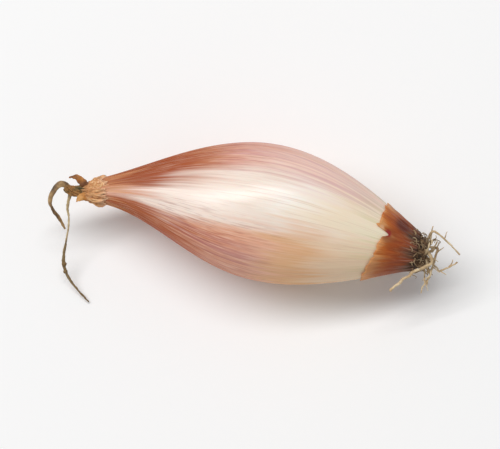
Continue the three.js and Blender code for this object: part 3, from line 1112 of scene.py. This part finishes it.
# Sizes in millimetres; a pair of numbers is the least and the most
FLAKES = 22
FLAKE_SLIP = 0.12  # in radians, off an even spacing
FLAKE_STARTS = (79.4, 82.4)  # along the bulb
FLAKE_LENGTHS = (1.0, 2.4)
FLAKE_LIFTS = (0.0, 0.7)
FLAKE_OFF = 0.15
FLAKE_BEND = 0.25
FLAKE_WIDTHS = (0.22, 0.5)
FLAKE_TAPER = [(0, 1), (0.35, 0.9), (0.7, 0.7), (1, 0.25)]  # share of its length, share of its width
FLAKE_TWIST = 0.5
STRIP_SIDES = 10
STRIP_HOLLOW = 0.35  # how deep a strip's trough is, over half its width
STRIP_THICKNESS = 0.58


def collar_out(share, angle, off, seed):
    """How far the paper stands off the neck, in millimetres: its swell, its folds and its creases."""
    side, up = math.cos(angle), math.sin(angle)
    folds = 0.75 * ripple(share * 1.2, side * 3.2 + seed, up * 3.2) * (1.1 - 0.4 * share)
    creases = 0.36 * ripple(share * 1.8, side * 8 + seed, up * 8)
    creases += 0.26 * ripple(share * 3.5, side * 19, up * 19 + seed)
    creases += 0.16 * ripple(share * 7, side * 42, up * 42)
    swell = off + COLLAR_SWELL * math.sin(math.pi * share)
    return max((swell + folds + creases) * smooth_step(0, 0.25, share), COLLAR_LEAST_OFF)


def collar_layer(name, bulb_edge, free_edge, off, ragged, seed):
    """One layer of the collar, between a ragged edge on the bulb and a ragged free edge."""
    low_teeth = [(often, height, seed) for often, height in COLLAR_BULB_TEETH]
    high_teeth = [(often, height, seed + 5) for often, height in COLLAR_FREE_TEETH]
    layer = open_tube(name, bulb_edge * MM, free_edge * MM, COLLAR_STEPS, COLLAR_SIDES)
    finish_mesh(layer)
    paper = layer.data.attributes.new("paper", "FLOAT_VECTOR", "POINT")
    for vertex in layer.data.vertices:
        nominal = WIDEST_AT - vertex.co.x
        share = part_way(bulb_edge, free_edge, nominal / MM)
        angle = angle_at(vertex.co, nominal)
        side, up = math.cos(angle), math.sin(angle)
        low = bulb_edge + COLLAR_SLANT * side + ragged * teeth(angle, low_teeth)
        high = free_edge + ragged * teeth(angle, high_teeth)
        along = (low + (high - low) * share) * MM
        drawn_in = COLLAR_DRAWN_IN * max(along - LENGTH, 0)
        out = collar_out(share, angle, off, seed) * MM - drawn_in
        vertex.co = skin_point(min(along, LENGTH), angle, out)
        vertex.co.x = WIDEST_AT - along
        paper.data[vertex.index].vector = (share, side, up)
    layer.data.update()
    thicken(layer, COLLAR_PAPER)
    return layer


def closed_profile(name, points, fineness):
    """The section of a strand, as a closed curve rounded through its points."""
    bpy.ops.curve.primitive_bezier_circle_add(radius=1.0)
    profile = bpy.context.object
    profile.name = name
    profile.data.dimensions = "2D"
    profile.data.resolution_u = fineness
    bends = profile.data.splines[0].bezier_points
    bends.add(len(points) - len(bends))
    for bend, (across, up) in zip(bends, points):
        bend.handle_left_type = bend.handle_right_type = "AUTO"
        bend.co = (across, up, 0)
    return profile


# The section of a withered strip: a shallow trough
trough_points = []
for i in range(STRIP_SIDES):
    turn = i / STRIP_SIDES * 2 * math.pi
    hollow = STRIP_HOLLOW * (1 - math.cos(turn) ** 2)
    trough_points.append((math.cos(turn), hollow + STRIP_THICKNESS * math.sin(turn)))
trough = closed_profile("strip_section", trough_points, fineness=2)

collar_chance = random.Random(5)
collar = [collar_layer(f"collar_layer_{i}", *layer) for i, layer in enumerate(COLLAR_LAYERS)]
for index in range(FLAKES):
    angle = index / FLAKES * 2 * math.pi + collar_chance.uniform(-FLAKE_SLIP, FLAKE_SLIP)
    start = collar_chance.uniform(*FLAKE_STARTS)
    length = collar_chance.uniform(*FLAKE_LENGTHS)
    lift = collar_chance.uniform(*FLAKE_LIFTS)
    line = []
    for share, _ in FLAKE_TAPER:
        bent = angle + FLAKE_BEND * share * collar_chance.uniform(-1, 1)
        out = FLAKE_OFF + lift * share ** 1.6
        line.append(skin_point((start + length * share) * MM, bent, out * MM))
    width = collar_chance.uniform(*FLAKE_WIDTHS)
    turns = [collar_chance.uniform(-FLAKE_TWIST, FLAKE_TWIST) for _ in line]
    widths = [taper * width * MM for _, taper in FLAKE_TAPER]
    flake = strand(f"flake_{index}", line, widths, fineness=4, profile=trough, turns=turns)
    paper = flake.data.attributes.new("paper", "FLOAT_VECTOR", "POINT")
    for vertex in flake.data.vertices:
        share = part_way(start, start + length, (WIDEST_AT - vertex.co.x) / MM)
        paper.data[vertex.index].vector = (share, math.cos(angle), math.sin(angle))
    collar.append(flake)
collar = join_pieces("neck_collar_paper", collar)
roughen(collar, COLLAR_LUMPS)

paper_paint = start_material("papery_neck")
share = split(paper_paint, own_place(paper_paint, "paper"))[0]
fibres = along_pattern(paper_paint, "paper", (1.2, 20, 20), detail=4, roughness=0.65)
crumbs = speckles(paper_paint, object_place(paper_paint), scale=1500.0, detail=4.0)
mottle = layered(paper_paint, maths(paper_paint, "MULTIPLY", fibres, 0.75), crumbs, 0.25)
colour = ramp(paper_paint, mottle, [
    (0.30, "885028"), (0.42, "c07e4c"), (0.52, "d89e6a"), (0.64, "eabf8c"), (0.78, "f6dcb4"),
])
# Browner towards the free edge: partly the paper's own colour, partly painted shade
colour = blend(paper_paint, spread(paper_paint, share, 0.5, 1.0, 0, 0.4), colour, "a07040")
# Paler next to the bulb: painted light that lifts the shade of the ragged edge and its creases
colour = blend(paper_paint, spread(paper_paint, share, 0.45, 0.0, 0, 0.8), colour, "fccfa8")
paper_height = layered(paper_paint, fibres, crumbs, 0.4)
paper_bumps = bumps(paper_paint, paper_height, strength=0.8, deep=0.25 * MM)
dull_finish(paper_paint, colour, 0.8, paper_bumps, collar)
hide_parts("neck_collar")
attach(collar, "root")


# Neck stub
# The withered bases of the inner leaves, which stand out of the neck, shrunk and twisted together into a
# dark fluted stump.

# Points as [out, side, up] from the middle of the neck's end, in millimetres
STUB = [(-1.2, 0, 0), (0.7, 0, 0), (2.1, -0.3, -0.1), (3.6, -0.4, 0), (5.0, 0.1, 0.3)]
STUB_STEPS = 3  # on each stretch of it
STUB_RADII = [1.2, 1.22, 1.26, 1.3, 1.34, 1.36, 1.35, 1.3, 1.28, 1.22, 1.15, 1.05, 0.85]
STUB_TWIST = 0.16  # in radians, from one radius to the next
STUB_FOLDS = 5
STUB_FOLD_DEPTHS = (1.0, 0.72, 1.05, 0.6)  # over its radius, round one fold
STUB_FOLD_UNEVENNESS = 0.12
STUB_LUMPS = [(0.9 * MM, 0.14 * MM), (0.4 * MM, 0.1 * MM), (0.2 * MM, 0.05 * MM)]

neck_end = Vector((WIDEST_AT - LENGTH, centre_y(LENGTH), AXIS_HEIGHT))


def from_neck(point):
    """A place given as [out, side, up] from the middle of the neck's end, in millimetres."""
    out, side, up = point
    return neck_end + Vector((-out, side, up)) * MM


fluted_points = []
for i in range(STUB_FOLDS * len(STUB_FOLD_DEPTHS)):
    turn = i / (STUB_FOLDS * len(STUB_FOLD_DEPTHS)) * 2 * math.pi
    depth = STUB_FOLD_DEPTHS[i % len(STUB_FOLD_DEPTHS)] * (1 + STUB_FOLD_UNEVENNESS * ripple(i * 1.7, 3))
    fluted_points.append((depth * math.cos(turn), depth * math.sin(turn)))
fluted = closed_profile("fluted_profile", fluted_points, fineness=3)

stub = strand(
    "neck_stub_leaves",
    smooth_line([from_neck(point) for point in STUB], STUB_STEPS),
    [radius * MM for radius in STUB_RADII],
    fineness=5,
    profile=fluted,
    turns=[i * STUB_TWIST for i in range(len(STUB_RADII))],
)
bpy.data.objects.remove(fluted)
roughen(stub, STUB_LUMPS)

leaf_paint = start_material("withered_leaf")
leaf_spot = object_place(leaf_paint)
stretched = add_node(leaf_paint, "ShaderNodeMapping", {"Vector": leaf_spot, "Scale": (0.35, 1, 1)})
stains = speckles(leaf_paint, stretched.outputs[0], scale=700.0, detail=4.0, roughness=0.6)
flecks = speckles(leaf_paint, leaf_spot, scale=2400.0, detail=3.0)
colour = ramp(leaf_paint, stains, [
    (0.30, "342c1a"), (0.44, "64542e"), (0.55, "9a6a36"), (0.70, "c4925a"),
])
colour = blend(leaf_paint, spread(leaf_paint, flecks, 0.55, 0.75, 0, 0.4), colour, "b08a58")
leaf_height = layered(leaf_paint, stains, flecks, 0.4)
leaf_bumps = bumps(leaf_paint, leaf_height, strength=0.7, deep=0.2 * MM)
dull_finish(leaf_paint, colour, 0.7, leaf_bumps, stub)
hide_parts("neck_stub")
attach(stub, "root")


# Dry leaf strips
# Two withered strips of leaf on the stub: a curl that turns back on itself, and a long thread with two
# small knots, which hangs down towards the table. Near the table both are darker, and the curl's colours,
# darker than the thread's, are partly painted shade.

# Points as the stub's, from the middle of the neck's end
CURL = [
    (4.3, 0.3, 0.35), (5.9, 0.5, 0.5), (7.3, -1.4, 0.3), (7.7, -3.9, -0.9), (7.0, -5.4, -2.0),
    (5.2, -6.9, -3.6), (3.4, -8.8, -5.6),
]
CURL_WIDTHS = [0.7, 0.95, 0.85, 0.78, 0.42, 0.5, 0.25]  # half its width at each point
CURL_TURNS = [0.2, 0.4, 0.8, 1.1, 1.9, 2.2, 2.6]
CURL_LUMPS = [(1.1 * MM, 0.14 * MM), (0.35 * MM, 0.05 * MM)]
# The curl's colours are darker than the thread's: partly painted shade
CURL_COLOURS_IN_PAINTED_SHADE = [(0.32, "46341f"), (0.45, "745838"), (0.55, "9c7c52"), (0.68, "c0a276")]
THREAD = [
    (3.3, -0.8, -0.4), (3.5, -2.2, -0.9), (3.4, -4.5, -1.5), (2.6, -6.9, -2.7), (2.5, -11.1, -5.8),
    (2.7, -14.1, -8.4), (2.1, -17.2, -10.8), (0.5, -19.5, -12.6), (-1.7, -21.3, -13.7), (-5.2, -23.7, -14.4),
]
THREAD_WIDTHS = [0.5, 0.48, 0.42, 0.38, 0.34, 0.36, 0.5, 0.44, 0.4, 0.22]
THREAD_TURNS = [0, 0.4, 0.9, 1.3, 1.8, 2.6, 3.6, 4.0, 4.4, 4.8]
THREAD_LUMPS = [(1.1 * MM, 0.16 * MM), (0.35 * MM, 0.1 * MM)]
THREAD_COLOURS = [(0.32, "5c4a34"), (0.45, "8c7450"), (0.55, "b39c74"), (0.68, "d2be98")]
KNOTS = [((2.3, -16.4, -10.25), 0.62), ((1.75, -17.9, -11.35), 0.56)]  # place and radius
STRIP_FINENESS = 12
STRIP_DARK_FROM = 9.0 * MM  # above the table
STRIP_DARK_TO = 5.0 * MM
STRIP_DARKNESS = 0.78


def leaf_strip(name, points, widths, turns, fineness):
    """A strip of dry leaf by the neck, turned about its own line by so much at each point."""
    return strand(
        name, [from_neck(point) for point in points], [width * MM for width in widths],
        fineness, profile=trough, turns=turns,
    )


def strip_finish(name, stops, fleck, *pieces):
    """The dull finish of withered leaf, mottled through a ramp, flecked, and darker near the table."""
    made = start_material(name)
    spot = object_place(made)
    stains = speckles(made, spot, scale=320.0, detail=3.0)
    flecks = speckles(made, spot, scale=2000.0, detail=3.0)
    colour = blend(made, spread(made, flecks, 0.5, 0.75, 0, 0.5), ramp(made, stains, stops), fleck)
    low = spread(made, split(made, spot)[2], STRIP_DARK_FROM, STRIP_DARK_TO, 0, STRIP_DARKNESS)
    colour = blend(made, low, colour, "644a1c")
    dull_finish(made, colour, 0.65, bumps(made, flecks, strength=0.6, deep=0.12 * MM), *pieces)


curl = leaf_strip("curled_leaf_strip", CURL, CURL_WIDTHS, CURL_TURNS, STRIP_FINENESS)
roughen(curl, CURL_LUMPS)
strip_finish("leaf_curl", CURL_COLOURS_IN_PAINTED_SHADE, "4e3a22", curl)
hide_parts("dry_leaf_curl")
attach(curl, "root")

thread = leaf_strip("leaf_thread", THREAD, THREAD_WIDTHS, THREAD_TURNS, STRIP_FINENESS)
knots = []
for place, radius in KNOTS:
    bpy.ops.mesh.primitive_uv_sphere_add(
        segments=16, ring_count=10, radius=radius * MM, location=from_neck(place)
    )
    bpy.ops.object.transform_apply(location=True, rotation=True, scale=True)
    bpy.ops.object.shade_smooth()
    knots.append(bpy.context.object)
thread = join_pieces("leaf_thread", [thread, *knots])
roughen(thread, THREAD_LUMPS)
strip_finish("leaf_strip", THREAD_COLOURS, "64502e", thread)
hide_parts("dry_leaf_thread")
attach(thread, "root")


# Dry leaf scraps
# Two torn scraps of papery leaf that stick out between the collar and the stub: tan and thin, cupped and
# curled as they dried, with their lower ends held inside the collar.

SCRAPS = [
    [(-0.4, 1.0, 0.9), (1.4, 2.0, 1.6), (2.7, 2.6, 2.0), (4.3, 2.3, 1.7)],
    [(-1.2, -1.2, 1.0), (0.6, -2.1, 1.2), (1.1, -2.6, 1.1), (1.5, -3.2, 0.8)],
]
SCRAP_WIDTHS = [1.0, 0.9, 0.65, 0.2]
SCRAP_TURNS = [2.8, 3.0, 3.3, 3.8]
SCRAP_LUMPS = [(0.9 * MM, 0.18 * MM), (0.4 * MM, 0.1 * MM)]
SCRAP_COLOURS = [(0.32, "6a3f1c"), (0.45, "9c6228"), (0.55, "bc7c38"), (0.68, "d29a58")]
SCRAP_FINENESS = 10

scraps = []
for number, points in enumerate(SCRAPS, 1):
    scrap = leaf_strip(f"leaf_scrap_{number}", points, SCRAP_WIDTHS, SCRAP_TURNS, SCRAP_FINENESS)
    roughen(scrap, SCRAP_LUMPS)
    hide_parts(f"dry_leaf_scrap_{number}")
    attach(scrap, "root")
    scraps.append(scrap)
strip_finish("leaf_scrap", SCRAP_COLOURS, "5a3a1c", *scraps)
bpy.data.objects.remove(trough)
